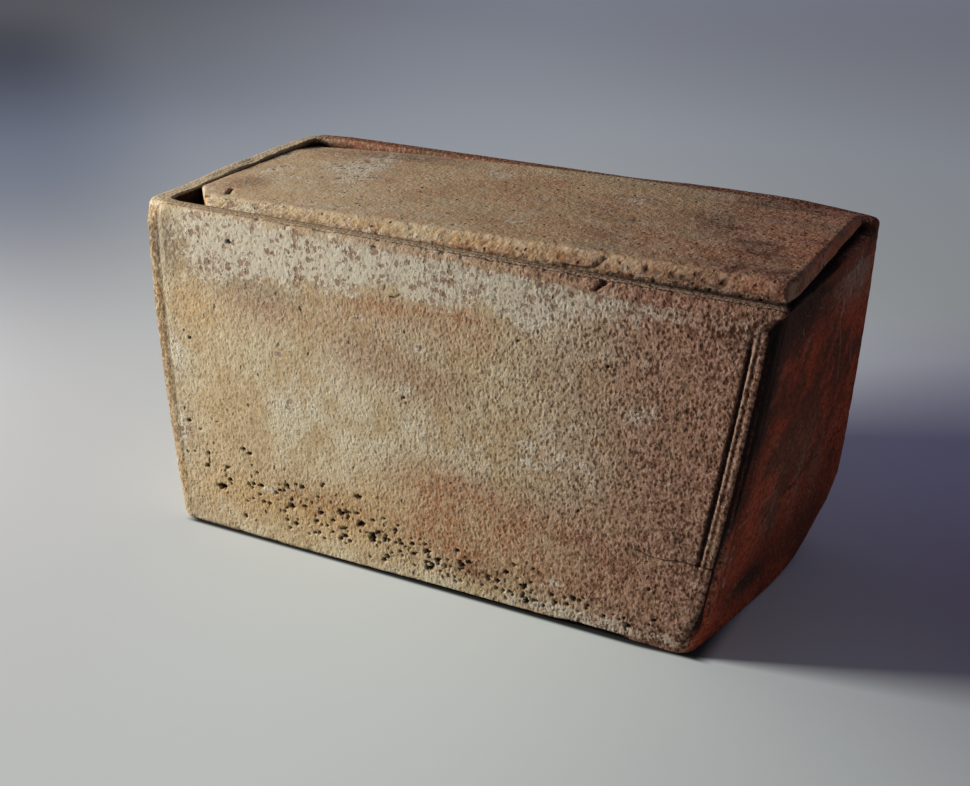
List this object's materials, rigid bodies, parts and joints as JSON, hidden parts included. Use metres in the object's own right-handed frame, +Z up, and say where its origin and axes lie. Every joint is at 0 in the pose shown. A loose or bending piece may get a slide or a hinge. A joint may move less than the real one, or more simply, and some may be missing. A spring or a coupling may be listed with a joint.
{
  "type": "lidded stone chest",
  "caption": "Small stone chest carved from one block, with raised rims on three sides and a flat stone lid that slides out over the low end wall.",
  "frame": {"origin": "middle of the outline's bounding box, on the flat base the chest rests on", "axes": "+X along the length to the low end wall that the lid slides over, +Y from the framed front face to the back, +Z up"},
  "size_m": [0.6447, 0.2918, 0.3585],
  "materials": {
    "chest_stone": "pecked and weathered, matte",
    "lid_stone": "smoothed and weathered, matte"
  },
  "bodies": {
    "chest": {"chest": "chest_stone"},
    "lid": {"lid": "lid_stone"}
  },
  "joints": [
    {"name": "lid_slide", "type": "slide", "parent": "chest", "child": "lid", "axis": [0.9997, 0, 0.0262], "range_m": [0, 0.64]}
  ]
}
